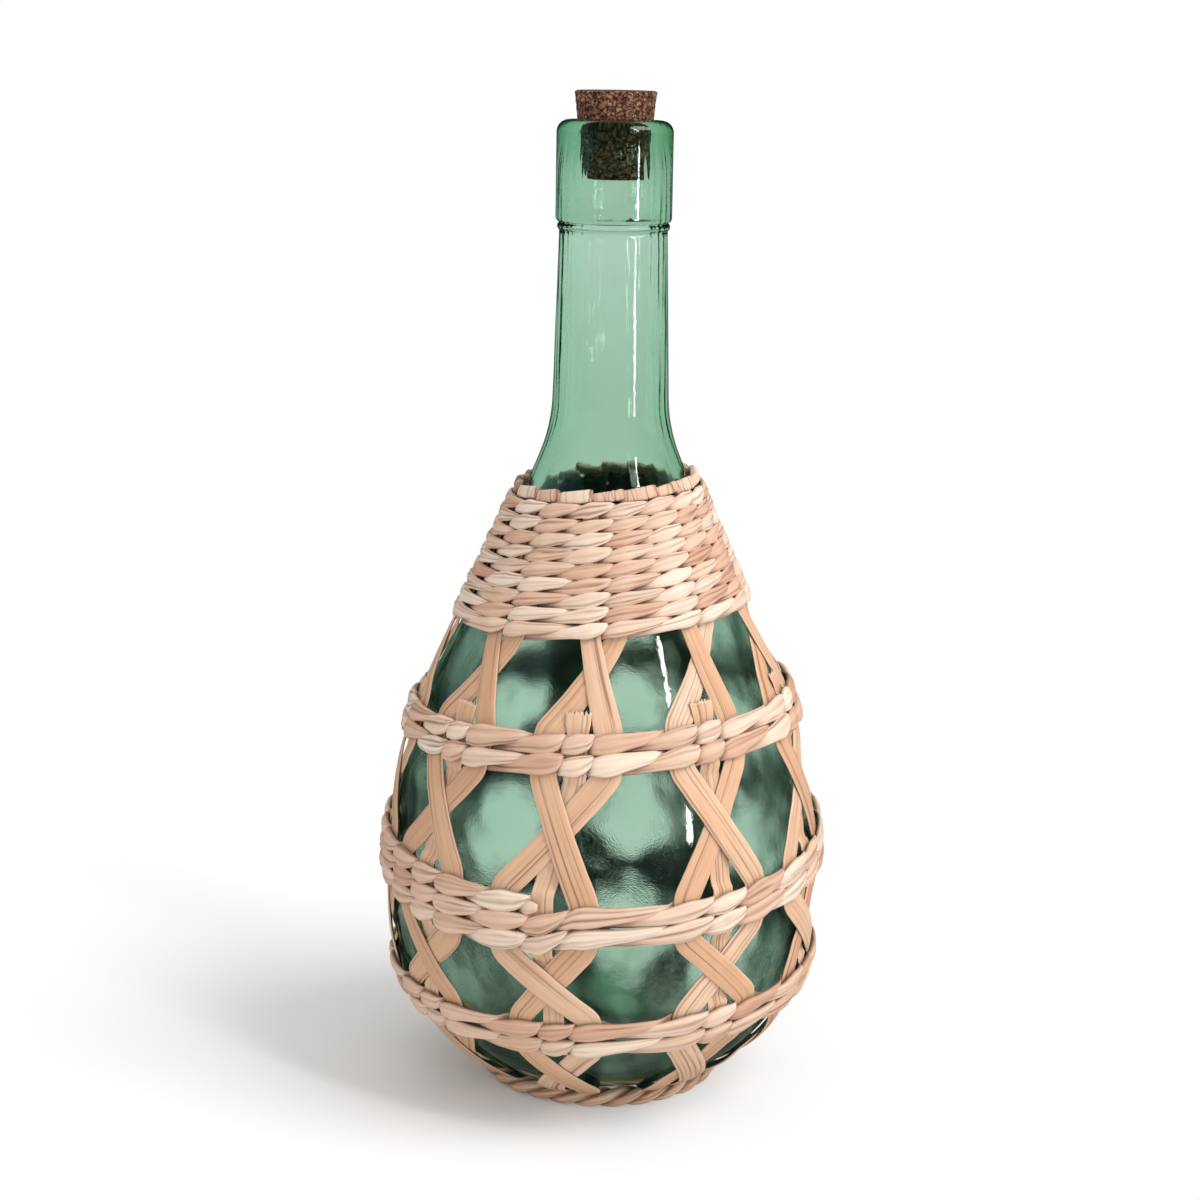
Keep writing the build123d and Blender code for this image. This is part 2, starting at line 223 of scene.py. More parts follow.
glass_profile = outer_skin + inner_skin


def part_way(value, low, high):
    """How far a value is on its way from low to high, from 0 to 1."""
    return min(1, max(0, (value - low) / (high - low)))


def draw_lines(angle, height):
    """Fine upright ripples that the neck keeps from being drawn: broad ones, and narrow ones half
    as strong."""
    def ripple(around, up, start):
        return noise.noise(Vector((math.sin(angle) * around, math.cos(angle) * around,
                                   height * up + start)))
    return ripple(9, 0.02, 0) + 0.5 * ripple(22, 0.05, 5)


# The heights between which the wavering of the body and of the neck grows, at both their ends
body_waver_ends, neck_waver_ends = ((240, 180), (8, 28)), ((215, 255), (348, 340))


def glass_waver(point, out, radius, height):
    """How far the skin of the glass wavers from a true turned shape, mostly on the inside."""
    still_above, axis_reach = rim_height - 0.4, 12
    if height > still_above:
        return 0.0
    angle = math.atan2(out.x, -out.y)
    in_body, in_neck = (math.prod(part_way(height, *end) for end in ends)
                        for ends in (body_waver_ends, neck_waver_ends))
    slow = noise.noise(point * 0.045 + Vector((3, 0, 7)))
    if (radius, height) in inner_spots:
        fast = noise.noise(point * 0.11 + Vector((11, 2, 0)))
        body = 0.8 * slow + 0.4 * fast + 0.1 * noise.noise(point * 0.17)
        neck = 0.2 * draw_lines(angle, height) + 0.22 * fast
    else:
        body = 0.12 * slow
        neck = 0.05 * draw_lines(angle + 1, height) + 0.05 * slow
    return part_way(radius, 0, axis_reach) * (in_body * body + in_neck * neck)


def store(piece, name, values):
    """A number for every point of a piece, for its material to read."""
    numbers = np.asarray(values, float).ravel()
    piece.data.attributes.new(name, "FLOAT", "POINT").data.foreach_set("value", numbers)


def set_inputs(made, values):
    """Plain values for a node's inputs, with _ for the spaces in their names."""
    for name, value in values.items():
        made.inputs[name.replace("_", " ")].default_value = value


def shader_material(name, **values):
    """A material with a Principled BSDF whose plain inputs have the values given."""
    material = bpy.data.materials.new(name)
    material.use_nodes = True
    shader = material.node_tree.nodes["Principled BSDF"]
    set_inputs(shader, values)
    return material, material.node_tree, shader


def node(tree, kind, inputs=None, **settings):
    """A new node with its settings, and its inputs given as plain values or as sockets to link."""
    made = tree.nodes.new(kind)
    for name, value in settings.items():
        setattr(made, name, value)
    for name, value in (inputs or {}).items():
        socket = made.inputs[name]
        if isinstance(value, bpy.types.NodeSocket):
            tree.links.new(value, socket)
        else:
            socket.default_value = value
    return made


def math_node(tree, operation, *values):
    return node(tree, "ShaderNodeMath", dict(enumerate(values)), operation=operation).outputs[0]


def ranged(tree, value, low, high, to_low=0.0, to_high=1.0, **settings):
    """A value's range from low to high, laid on the range from to_low to to_high."""
    inputs = {"Value": value, "From Min": low, "From Max": high,
              "To Min": to_low, "To Max": to_high}
    return node(tree, "ShaderNodeMapRange", inputs, **settings).outputs[0]


def mixed(tree, share, low, high):
    """A colour a share of the way from low to high."""
    inputs = {"Factor": share, "A": low, "B": high}
    return node(tree, "ShaderNodeMix", inputs, data_type="RGBA").outputs["Result"]


def stored(tree, name):
    """The number that store() gave to each point."""
    return node(tree, "ShaderNodeAttribute", attribute_name=name).outputs["Fac"]


def cloudy(tree, where, scale, detail, roughness=0.5):
    """A soft random pattern, from 0 to 1."""
    inputs = {"Vector": where, "Scale": scale, "Detail": detail, "Roughness": roughness}
    return node(tree, "ShaderNodeTexNoise", inputs).outputs["Fac"]


def add_relief(tree, shader, strength, distance, height):
    """Relief on a shader's surface, with its distance in metres."""
    inputs = {"Strength": strength, "Distance": distance, "Height": height}
    bump = node(tree, "ShaderNodeBump", inputs)
    tree.links.new(bump.outputs["Normal"], shader.inputs["Normal"])


def finish_piece(piece, material, body, cad_node):
    """A piece takes its material, its body and the CAD node that it stands for."""
    piece.data.materials.append(material)
    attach(piece, body)
    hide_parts(cad_node)


bottle_glass, tree, shader = shader_material(
    "bottle_glass", Base_Color=(1, 1, 1, 1), IOR=1.5, Transmission_Weight=1.0)
uneven = stored(tree, "uneven")
tree.links.new(ranged(tree, uneven, 0, 1, to_high=0.11), shader.inputs["Roughness"])
tint = node(tree, "ShaderNodeVolumeAbsorption", {"Color": (0.10, 0.56, 0.27, 1), "Density": 112.0})
tree.links.new(tint.outputs["Volume"], tree.nodes["Material Output"].inputs["Volume"])
where = node(tree, "ShaderNodeTexCoord").outputs["Object"]
seeds = cloudy(tree, where, 420.0, 3.0, 0.6)
grain = cloudy(tree, where, 2600.0, 1.0)
hammered = math_node(tree, "MULTIPLY", grain, math_node(tree, "MULTIPLY", uneven, 0.33))
add_relief(tree, shader, 0.4, 0.0004, math_node(tree, "MULTIPLY_ADD", seeds, 0.2, hammered))

points, faces = turned(glass_profile, glass_segments, glass_waver)
glass = mesh_object("glass_bottle_blown", points, faces)
least_uneven, uneven_from, uneven_full = 0.15, 235, 195
uneven = [max(least_uneven, part_way(height, uneven_from, uneven_full))
          if (radius, height) in inner_spots else 0.0 for radius, height in glass_profile]
uneven_rings = np.repeat(uneven[1:-1], glass_segments)
store(glass, "uneven", np.concatenate([uneven[:1], uneven_rings, uneven[-1:]]))
finish_piece(glass, bottle_glass, "bottle", "glass_bottle")


# Cork stopper
# A tapered plug pressed from ground cork and binder. It's pushed into the mouth by hand and holds
# by its taper, and its granules and open pores show on every face.

cork_top_radius, cork_low_radius, cork_length, cork_stand_out = 14.4, 10.9, 30.0, 10.0
cork_edge, cork_side_margin, cork_axis_gap = 0.9, 1.5, 0.5
grip_height, grip_reach = 345.0, 5.0
cork_segments = 150
cork_top_height = rim_height + cork_stand_out
cork_foot_height = cork_top_height - cork_length


def cork_radius(height):
    """Radius of the tapered side at a height."""
    share = (cork_top_height - height) / cork_length
    return cork_top_radius + share * (cork_low_radius - cork_top_radius)


low_edge, top_edge = cork_low_radius - cork_edge, cork_top_radius - cork_edge
side_heights = np.linspace(cork_foot_height + cork_side_margin,
                           cork_top_height - cork_side_margin, 60)
cork_profile = [(0, cork_foot_height)]
cork_profile += [(radius, cork_foot_height) for radius in np.linspace(cork_axis_gap, low_edge, 22)]
cork_profile += rounding((low_edge, cork_foot_height + cork_edge), cork_edge, -60, 0, 3)
cork_profile += [(cork_radius(height), height) for height in side_heights]
cork_profile += rounding((top_edge, cork_top_height - cork_edge), cork_edge, 0, 60, 3)
cork_profile += [(radius, cork_top_height) for radius in np.linspace(top_edge, cork_axis_gap, 26)]
cork_profile += [(0, cork_top_height)]


def granules(point, out, radius, height):
    """Pits between the granules, shallow where the mouth grips the cork."""
    cell = noise.cell_vector(point * 0.9)
    pit = noise.noise(point * 0.75 + Vector((5, 1, 2))) * 0.22 + noise.noise(point * 1.7) * 0.16
    grip = 1 - 0.85 * math.exp(-((height - grip_height) / grip_reach) ** 2)
    return (pit - 0.14 + 0.05 * cell.x) * grip * part_way(radius, 0, 6)


points, faces = turned(cork_profile, cork_segments, granules)
cork = mesh_object("cork_stopper_pressed", points, faces)

granule_colours = ((0.0, (0.06, 0.02, 0.01)), (0.3, (0.16, 0.056, 0.028)),
                   (0.55, (0.27, 0.11, 0.058)), (0.8, (0.37, 0.17, 0.095)),
                   (1.0, (0.5, 0.28, 0.18)))
pore_colour = (0.03, 0.01, 0.006, 1)
pressed_cork, tree, shader = shader_material(
    "pressed_cork", Roughness=0.92, Specular_IOR_Level=0.25)
where = node(tree, "ShaderNodeTexCoord").outputs["Object"]
small = node(tree, "ShaderNodeTexVoronoi", {"Vector": where, "Scale": 620.0})
large = node(tree, "ShaderNodeTexVoronoi", {"Vector": where, "Scale": 330.0})
edges = node(tree, "ShaderNodeTexVoronoi", {"Vector": where, "Scale": 330.0},
             feature="DISTANCE_TO_EDGE").outputs["Distance"]
tone = math_node(tree, "MULTIPLY_ADD", large.outputs["Color"], 0.45,
                 math_node(tree, "MULTIPLY", small.outputs["Color"], 0.55))
ramp = node(tree, "ShaderNodeValToRGB", {"Fac": tone})
for place, colour in granule_colours:
    stops = ramp.color_ramp.elements
    stop = stops.new(place) if 0 < place < 1 else stops[int(place)]
    stop.color = (*colour, 1)
pores = ranged(tree, cloudy(tree, where, 900.0, 5.0, 0.7), 0.42, 0.56)
solid = math_node(tree, "MULTIPLY", pores, ranged(tree, edges, 0.0, 0.09))
shade = mixed(tree, solid, pore_colour, ramp.outputs["Color"])
tree.links.new(shade, shader.inputs["Base Color"])
add_relief(tree, shader, 0.7, 0.0005, solid)
finish_piece(cork, pressed_cork, "cork", "cork_stopper")


# Main stakes
# Flat dried leaves in nine columns of two. The two of a column cross in every open zone of the
# cage and lie side by side under the bands. They start under the bottle and end at the rim.

column_count = 9
stake_width, stake_heel_width, stake_collar_width, stake_rim_width = 9.6, 8.4, 7.0, 5.2
stake_thickness = 0.9
base_lift, under_lift, band_lift, over_lift = 1.0, 1.35, 2.2, 2.4
base_stations = [(15.0, 2.2), (26.0, 4.6), (37.0, 6.4)]
heel_row_height, heel_row_pitch, heel_margin = 10.9, 5.4, 0.6
collar_foot_height, collar_foot_rise, collar_foot_spread = 176.5, 3.9, 5.0
collar_top_height, collar_top_rise, collar_top_spread = 219.6, 2.2, 9.5
collar_angles = [-1, 39, 76, 115, 156, 196, 236, 272, 318]
band_row_pitch, band_margin, foot_spread = 6.8, 0.8, 7.5
third_row_start, third_row_end, third_row_ramp = 200.0, 345.0, 8.0
# A band's level is its height, its rise towards the right and its drop towards the front
bands = [
    {"name": "band_1", "level": (140.5, 3.5, 0.0), "rows": 2, "spread": 9.0, "turn": 1,
     "angles": [-8, 31, 72, 111, 151, 191, 232, 277, 313]},
    {"name": "band_2", "level": (91.0, 2.0, 8.0), "rows": 3, "spread": 10.5, "turn": -1,
     "angles": [-15, 32, 68, 108, 149, 190, 233, 275, 308]},
    {"name": "band_3", "level": (44.5, 3.0, 3.0), "rows": 2, "spread": 9.2, "turn": 1,
     "angles": [-12, 32, 70, 110, 151, 191, 232, 271, 308]},
]
# Where a stake has knots: shares of the way through each open zone, and up the collar
heel_zone_shares, band_zone_shares = (0.22, 0.5, 0.78), (0.26, 0.5, 0.74)
top_zone_shares, collar_shares = (0.25, 0.58, 0.9), (0.02, 0.3, 0.65, 1)


def level(angle, height, rise, drop=0.0):
    """Height of a tilted level of the cage: it rises to the right and drops to the front."""
    return height + rise * np.sin(np.radians(angle)) - drop * np.cos(np.radians(angle))


def collar_foot(angle):
    return level(angle, collar_foot_height, collar_foot_rise)


def collar_top(angle):
    return level(angle, collar_top_height, collar_top_rise)


def third_row_share(band, angle):
    """How far a band makes room for a third row. Only band 2 has one, round its left side."""
    turn = np.mod(angle, 360)
    before = 1 + (turn - third_row_start) / third_row_ramp
    after = 1 + (third_row_end - turn) / third_row_ramp
    return (band["rows"] - 2) * np.clip(np.minimum(before, after), 0, 1)


def band_half(band, angle):
    """Half the height of a band at an angle, measured along the glass."""
    return band_row_pitch * (1 + 0.5 * third_row_share(band, angle)) + band_margin


def between(low, high, share):
    return low + (high - low) * share


def collar_spread(share):
    """Degrees from a column's middle to its stakes, a share of the way up the collar."""
    return between(collar_foot_spread, collar_top_spread, 1 - (1 - share) ** 2)


def stake_knots(column, side):
    """Knots of a stake as (angle, distance on the leaf's line, lift, width), from base to rim."""
    angle = bands[-1]["angles"][column] + side * foot_spread
    knots = [(angle, radius, base_lift, width) for radius, width in base_stations]
    heel, half = along_glass(heel_row_height), heel_row_pitch / 2 + heel_margin
    knots += [(angle, heel - half, band_lift, stake_heel_width),
              (angle, heel + half, band_lift, stake_width)]
    place, over, shares = heel + half, side > 0, heel_zone_shares
    for band in reversed(bands):
        next_angle = band["angles"][column] - side * band["turn"] * band["spread"]
        middle, half = along_glass(level(next_angle, *band["level"])), band_half(band, next_angle)
        for share in shares:
            knots.append((between(angle, next_angle, share), between(place, middle - half, share),
                          over_lift if over else under_lift, stake_width))
        angle, place = next_angle, middle + half
        knots += [(angle, middle - half, band_lift, stake_width),
                  (angle, middle + half, band_lift, stake_width)]
        over, shares = not over, band_zone_shares
    next_angle = collar_angles[column] + side * collar_foot_spread
    next_place = along_glass(collar_foot(next_angle))
    for share in top_zone_shares:
        knots.append((between(angle, next_angle, share), between(place, next_place, share),
                      over_lift if over else under_lift,
                      between(stake_width, stake_collar_width, share)))
    for share in collar_shares:
        angle = collar_angles[column] + side * collar_spread(share)
        height = between(collar_foot(angle), collar_top(angle), share)
        knots.append((angle, along_glass(height), band_lift,
                      between(stake_collar_width, stake_rim_width, share)))
    return np.array(knots)


def eased(places, values, at):
    """Values between knots, smooth and never past the knots on either side."""
    places, values = np.asarray(places, float), np.asarray(values, float)
    gap = np.diff(places)
    rate = np.diff(values, axis=0) / (gap[:, None] if values.ndim > 1 else gap)
    slope = np.zeros_like(values)
    slope[0], slope[-1] = rate[0], rate[-1]
    same_way = rate[:-1] * rate[1:] > 0
    safe = np.where(same_way, rate[:-1] + rate[1:], 1)
    slope[1:-1] = np.where(same_way, 2 * rate[:-1] * rate[1:] / safe, 0)
    index = np.clip(np.searchsorted(places, at, side="right") - 1, 0, len(gap) - 1)
    share = (at - places[index]) / gap[index]
    width = gap[index]
    if values.ndim > 1:
        share, width = share[:, None], width[:, None]
    return ((2 * share ** 3 - 3 * share ** 2 + 1) * values[index]
            + (share ** 3 - 2 * share ** 2 + share) * width * slope[index]
            + (3 * share ** 2 - 2 * share ** 3) * values[index + 1]
            + (share ** 3 - share ** 2) * width * slope[index + 1])


def bent(places, values, at, reach):
    """Values on straight lines between knots, with each bend rounded over a reach either way."""
    shifts = np.linspace(-1, 1, 9)
    weights = 1 - np.abs(shifts) * 0.85
    total = sum(weight * np.stack([np.interp(at + shift * reach, places, column)
                                   for column in values.T], axis=1)
                for shift, weight in zip(shifts, weights))
    return total / weights.sum()


def wander(rng, length, reach, size):
    """A slow random drift along a leaf, with its turns a reach apart."""
    count = max(4, int(length[-1] / reach) + 3)
    places = np.arange(count) * reach
    return eased(places, rng.normal(0, size, count), np.clip(length, 0, places[-1]))


def lengths_along(points):
    """Length run from the first point to each of them."""
    return np.concatenate([[0], np.cumsum(np.linalg.norm(np.diff(points, axis=0), axis=1))])


def unit(vectors):
    return vectors / np.linalg.norm(vectors, axis=1)[:, None]


def swept(centres, sideways, side, outward, out):
    """Rings of points round centres, each moved sideways and outward along its own directions."""
    return (centres[:, None, :] + sideways[..., None] * side[:, None, :]
            + outward[..., None] * out[:, None, :])


def leaf_grooves(across, length, rng, count):
    """Lengthwise grooves of a leaf, 0 to 1, for places from -1 to 1 across it."""
    grooves = np.zeros((len(length), len(across)))
    for centre in rng.uniform(-0.85, 0.85, count):
        line = centre + wander(rng, length, 40.0, 0.05)
        strength = np.clip(rng.uniform(-0.6, 0.9) + wander(rng, length, 30.0, 0.45), 0, 1)
        narrow = rng.uniform(0.03, 0.06)
        grooves += strength[:, None] * np.exp(-((across - line[:, None]) / narrow) ** 2)
    return np.clip(grooves, 0, 1)


def store_lengths(piece, along, across):
    """Millimetres along and across the leaf for every point, as UVs."""
    mesh = piece.data
    corner_points = np.zeros(len(mesh.loops), int)
    mesh.loops.foreach_get("vertex_index", corner_points)
    pair = np.stack([np.ravel(values)[corner_points] for values in (along, across)], axis=1)
    mesh.uv_layers.new(name="leaf").data.foreach_set("uv", pair.ravel())


leaf_step, bend_reach, groove_depth = 1.5, 3.0, 0.16
edge_wear, torn_end_wear = 12, 2.0
# How a leaf drifts along its length, as (millimetres from turn to turn, size)
width_drift, tilt_drift = (30.0, 0.06), (40.0, 0.1)
edge_drift, tone_drift = (5.0, 0.012), (45.0, 0.07)


def leaf_strip(name, knots, seed, thickness, crown=0.35, groove_count=8, tone=0.5, ragged=0.0,
               columns=27):
    """A flat leaf through knots of (angle, distance, lift, width), grooved on its outer face."""
    rng = np.random.default_rng(seed)
    length = lengths_along(on_glass(*knots[:, :3].T)[0])
    at = np.linspace(0, length[-1], int(length[-1] / leaf_step) + 1)
    angle, distance = bent(length, knots[:, :2], at, bend_reach).T
    lift, width = eased(length, knots[:, 2:], at).T
    width = width * (1 + wander(rng, at, *width_drift))
    middle, out, _ = on_glass(angle, distance, lift)
    ahead = np.gradient(middle, axis=0)
    side, ahead = unit(np.cross(out, ahead)), unit(ahead)
    across = np.linspace(-1, 1, columns)
    grooves = leaf_grooves(across, at, rng, groove_count)
    body = thickness / 2 * np.sqrt(np.clip(1 - 0.8 * across ** 8, 0, 1))
    bow = crown * (0.35 - across ** 2)
    tilt = wander(rng, at, *tilt_drift)[:, None] * across
    top = bow + tilt + body - groove_depth * grooves
    low = (bow + tilt - body)[:, ::-1]
    left, right = (wander(rng, at, *edge_drift)[:, None] for _ in range(2))
    spread = across * (1 + np.where(across < 0, left, right))
    teeth = ragged * rng.normal(0, 1, columns)
    fray = np.zeros_like(spread)
    fray[0], fray[-1] = -teeth, teeth
    sideways = np.concatenate([spread, spread[:, ::-1]], axis=1) * (width[:, None] / 2)
    forward = np.concatenate([fray, fray[:, ::-1]], axis=1)
    points = swept(middle, sideways, side, np.concatenate([top, low], axis=1),
                   np.cross(ahead, side)) + forward[..., None] * ahead[:, None, :]
    corner_count = 2 * columns
    faces = ring_faces(len(at), corner_count)
    last = (len(at) - 1) * corner_count
    for corner in range(columns - 1):
        mirror = corner_count - 1 - corner
        faces.append((corner, mirror, mirror - 1, corner + 1))
        faces.append((last + corner, last + corner + 1, last + mirror - 1, last + mirror))
    piece = mesh_object(name, points.reshape(-1, 3), faces)
    # Painted shade: the grooves are darkened in colour as well as cut into the face.
    store(piece, "crease_and_shade", np.concatenate([grooves, np.zeros_like(grooves)], axis=1))
    store(piece, "tone", np.repeat(tone + wander(rng, at, *tone_drift), corner_count))
    wear = np.tile(np.abs(np.concatenate([across, across[::-1]])) ** edge_wear, (len(at), 1))
    if ragged:
        wear[-1] = torn_end_wear
    store(piece, "edge", wear)
    # Painted shade: the low face, towards the glass, takes the dark olive shade colour.
    store(piece, "glass_side_shade", np.tile(np.repeat([0.0, 1.0], columns), len(at)))
    store_lengths(piece, np.repeat(at + 1000 * seed, corner_count), sideways + 50 * seed)
    return piece


def leaf_fibre_group():
    """Dried leaf: fine fibres along it, grooves, pale worn edges, and each leaf's own tone.
    Grooves, folds and tucks are darkened as painted shade, and the side towards the glass is
    painted dark olive as shade."""
    group = bpy.data.node_groups.new("leaf_fibres", "ShaderNodeTree")
    for name, value in (("Pale", (0.80, 0.66, 0.50, 1)), ("Tan", (0.72, 0.47, 0.29, 1)),
                        ("Ruddy", (0.58, 0.31, 0.17, 1)), ("Fibre Line And Shade", (0.20, 0.075, 0.04, 1)),
                        ("Glass Side Shade", (0.05, 0.085, 0.045, 1)), ("Fibre Strength", 0.5)):
        kind = "NodeSocketFloat" if isinstance(value, float) else "NodeSocketColor"
        group.interface.new_socket(name, in_out="INPUT", socket_type=kind).default_value = value
    for name, kind in (("Color", "NodeSocketColor"), ("Roughness", "NodeSocketFloat"),
                       ("Height", "NodeSocketFloat")):
        group.interface.new_socket(name, in_out="OUTPUT", socket_type=kind)
    given = node(group, "NodeGroupInput").outputs
    lengths = node(group, "ShaderNodeUVMap", uv_map="leaf").outputs["UV"]
    crease_and_shade, tone = stored(group, "crease_and_shade"), stored(group, "tone")
    edge, glass_side_shade = stored(group, "edge"), stored(group, "glass_side_shade")

    def leaf_noise(along, across, detail, roughness=0.5):
        """A pattern with so many spots to a millimetre along and across the leaf."""
        space = node(group, "ShaderNodeMapping", {"Vector": lengths, "Scale": (along, across, 1)})
        return cloudy(group, space.outputs[0], 1.0, detail, roughness)

    def calculate(operation, *values):
        return math_node(group, operation, *values)

    def swing(pattern):
        return calculate("SUBTRACT", pattern, 0.5)

    fine = leaf_noise(0.035, 3.2, 4.0, 0.65)
    broad, blotch = leaf_noise(0.02, 0.9, 2.0), leaf_noise(0.1, 0.25, 2.0)
    fibre = calculate("MULTIPLY", swing(fine), given["Fibre Strength"])
    streaks = calculate("MULTIPLY_ADD", swing(broad), 0.55, calculate("MULTIPLY", fibre, 1.1))
    own_tone = calculate("MULTIPLY_ADD", swing(blotch), 0.35, calculate("ADD", tone, streaks))
    colour = mixed(group, ranged(group, own_tone, 0.0, 0.5), given["Pale"], given["Tan"])
    colour = mixed(group, ranged(group, own_tone, 0.5, 1.1), colour, given["Ruddy"])
    lines = ranged(group, fine, 0.43, 0.33, to_high=0.55)
    # The dark fibre lines are the leaf's own; the stored mask adds painted shade in the grooves,
    # folds and tucked places.
    dark = calculate("MAXIMUM", calculate("MULTIPLY", crease_and_shade, 0.85),
                     calculate("MULTIPLY", lines, given["Fibre Strength"]))
    colour = mixed(group, dark, colour, given["Fibre Line And Shade"])
    colour = mixed(group, calculate("MULTIPLY", edge, 0.45), colour, given["Pale"])
    done = node(group, "NodeGroupOutput").inputs
    # Painted shade: the face towards the glass is painted dark olive.
    group.links.new(mixed(group, glass_side_shade, colour, given["Glass Side Shade"]), done["Color"])
    group.links.new(calculate("MULTIPLY_ADD", fine, 0.3, 0.38), done["Roughness"])
    group.links.new(calculate("MULTIPLY_ADD", crease_and_shade, -0.6, fine), done["Height"])
    return group


leaf_fibres = leaf_fibre_group()


def leaf_material(name, bump, **values):
    """A leaf finish: the fibre group with its own colours, under a soft waxy sheen."""
    material, tree, shader = shader_material(name, Specular_IOR_Level=0.42, Sheen_Weight=0.06)
    group = node(tree, "ShaderNodeGroup", node_tree=leaf_fibres)
    set_inputs(group, values)
    tree.links.new(group.outputs["Color"], shader.inputs["Base Color"])
    tree.links.new(group.outputs["Roughness"], shader.inputs["Roughness"])
    add_relief(tree, shader, bump, 0.0003, group.outputs["Height"])
    return material


flat_leaf = leaf_material("flat_leaf", 0.5, Pale=(0.78, 0.565, 0.41, 1), Fibre_Strength=0.75,
                          Tan=(0.66, 0.385, 0.225, 1), Ruddy=(0.50, 0.25, 0.13, 1))
stake_tones = np.random.default_rng(11).uniform(0.3, 0.75, 2 * column_count)
for column in range(column_count):
    for side, side_name in ((-1, "left"), (1, "right")):
        number = 2 * column + (side > 0)
        cad_node = f"stake_{column + 1}_{side_name}"
        stake = leaf_strip(f"{cad_node}_leaf", stake_knots(column, side), number + 1,
                           stake_thickness, tone=stake_tones[number])
        finish_piece(stake, flat_leaf, "bottle", cad_node)


# Inner stakes
# One shorter leaf behind the crossings of each column, put in to stiffen the cage. It's cut square
# just over band 1 and under band 3, where its ends fray.

inner_width, stub_width, inner_thickness, inner_lift, inner_drop = 8.0, 9.2, 0.6, 0.5, 2.6
low_stub, top_stub, top_stub_lift = 3.0, 7.0, 2.75


def inner_knots(column):
    """Knots of an inner stake, from its lower cut end to its upper one."""
    knots, place, angle = [], None, None
    for band in reversed(bands):
        next_angle = band["angles"][column]
        middle, half = along_glass(level(next_angle, *band["level"])), band_half(band, next_angle)
        low, high = middle - half, middle + half
        if place is None:
            knots.append((next_angle, low - low_stub, inner_lift, inner_width))
        else:
            drop_share = inner_drop / (low - place)
            for share in (drop_share, 0.5, 1 - drop_share):
                knots.append((between(angle, next_angle, share), between(place, low, share),
                              inner_lift, inner_width))
        knots += [(next_angle, edge, band_lift, inner_width) for edge in (low, high)]
        place, angle = high, next_angle
    knots += [(angle, place + rise, top_stub_lift, stub_width) for rise in (inner_drop, top_stub)]
    return np.array(knots)


inner_pieces = [
    leaf_strip(f"inner_stake_{column + 1}_leaf", inner_knots(column), 40 + column, inner_thickness,
               crown=0.2, groove_count=5, tone=0.4, ragged=0.5, columns=31)
    for column in range(column_count)
]
for piece in inner_pieces:
    finish_piece(piece, flat_leaf, "bottle", "inner_stakes")


# Collar
# Nine rows of twining: two twisted leaves a row, one in front of a stake while the other is behind
# it, turning round each other between stakes. The rows are pushed down tight on one another.

collar_row_count = 9
side_gap, tuck, overlap, turning_share = 0.5, 1.0, 0.8, 0.16
front_lift, tip_lift, behind_shift = 3.8, 2.3, 0.03
weaver_corners, usual_pitch, overfill = 26, 5.4, 1.03
fold_count, fold_reach, fold_depth, fold_drift = 6, 0.72, 0.3, (12.0, 0.04)
meeting_length, tip_length, tip_start = 6.0, 5.0, 0.8
weaver_tones, tone_spread, weaver_tone_drift = (0.05, 0.72), 0.36, (60.0, 0.04)
# How much the stitches differ in thickness, height, lift and shift up
stitch_spreads = (0.06, 0.05, 0.1, 0.03)

# The shape of a weaver at a stake as (half height, lift, half thickness), and between two stakes,
# where it changes places with the other one, as (share of the way, shift up, half height, lift,
# half thickness). Shifts and heights are shares of the row's pitch. The weaver that was in front
# narrows upwards to a point, and the next comes out from behind it along its lower edge.
over_stake, behind_stake = (0.55, 4.05, 1.4), (0.54, 0.95, 0.5)
leaving = [(0.0, 0.11, 0.42, 3.9, 1.25), (0.4, 0.18, 0.35, 3.85, 1.15),
           (0.75, 0.26, 0.26, 3.6, 1.0), (1.0, 0.33, 0.15, 2.9, 0.6)]
entering = [(0.0, -0.10, 0.45, 1.3, 0.6), (0.3, -0.15, 0.39, 2.2, 0.9),
            (0.65, -0.14, 0.37, 3.1, 1.05), (1.0, -0.09, 0.42, 3.8, 1.2)]


def weaver_knots(spots, rounds, closed, start, radius_at, rng):
    """Knots as (angle, shift up, half height, lift, half thickness, stitch number). A weaver is
    in front of every second spot, and its next stitch starts behind each of the others."""
    count = len(spots) * rounds
    knots, stitch = [], 0
    for turn in range(count):
        angle, half = spots[turn % len(spots)]
        next_angle, next_half = spots[(turn + 1) % len(spots)]
        angle += 360 * (turn // len(spots))
        next_angle += 360 * ((turn + 1) // len(spots))
        in_front = (turn + start) % 2 == 0
        per_mm = math.degrees(1 / radius_at(angle))
        if in_front:
            knots.append((angle, rng.normal(0, 0.02), *over_stake, stitch))
        else:
            inner = (half - side_gap - tuck) * per_mm
            knots.append((angle - inner, behind_shift, *behind_stake, stitch))
            stitch += 1
            knots.append((angle + inner, -behind_shift, *behind_stake, stitch))
        if turn == count - 1 and not closed:
            break
        gap_start, gap_end = angle + half * per_mm, next_angle - next_half * per_mm
        turning = turning_share * (gap_end - gap_start)
        first = gap_start + turning * rng.uniform(0.5, 1.5) - overlap * per_mm
        last = gap_end - turning * rng.uniform(0.5, 1.5) + overlap * per_mm
        knots += [(between(first, last, share), *shape, stitch)
                  for share, *shape in (leaving if in_front else entering)]
    if closed:
        knots.append((knots[0][0] + 360 * rounds, *knots[0][1:5], stitch))
    return np.array(knots)


def cross_section(corner_count, power_across, power_out):
    """Angles round a leaf bundle, and its corners across and out, from -1 to 1."""
    ring = np.linspace(0, 2 * math.pi, corner_count, endpoint=False)
    x, y = (np.sign(wave) * np.abs(wave) ** power
            for wave, power in ((np.cos(ring), power_across), (np.sin(ring), power_out)))
    return ring, x, y


def tube_faces(ring_count, corner_count, closed=False):
    """Faces of a tube that runs back into itself, or is capped at both ends."""
    faces = ring_faces(ring_count, corner_count, closed_rings=closed)
    if not closed:
        last = (ring_count - 1) * corner_count
        faces += [tuple(range(corner_count))[::-1], tuple(range(last, last + corner_count))]
    return faces


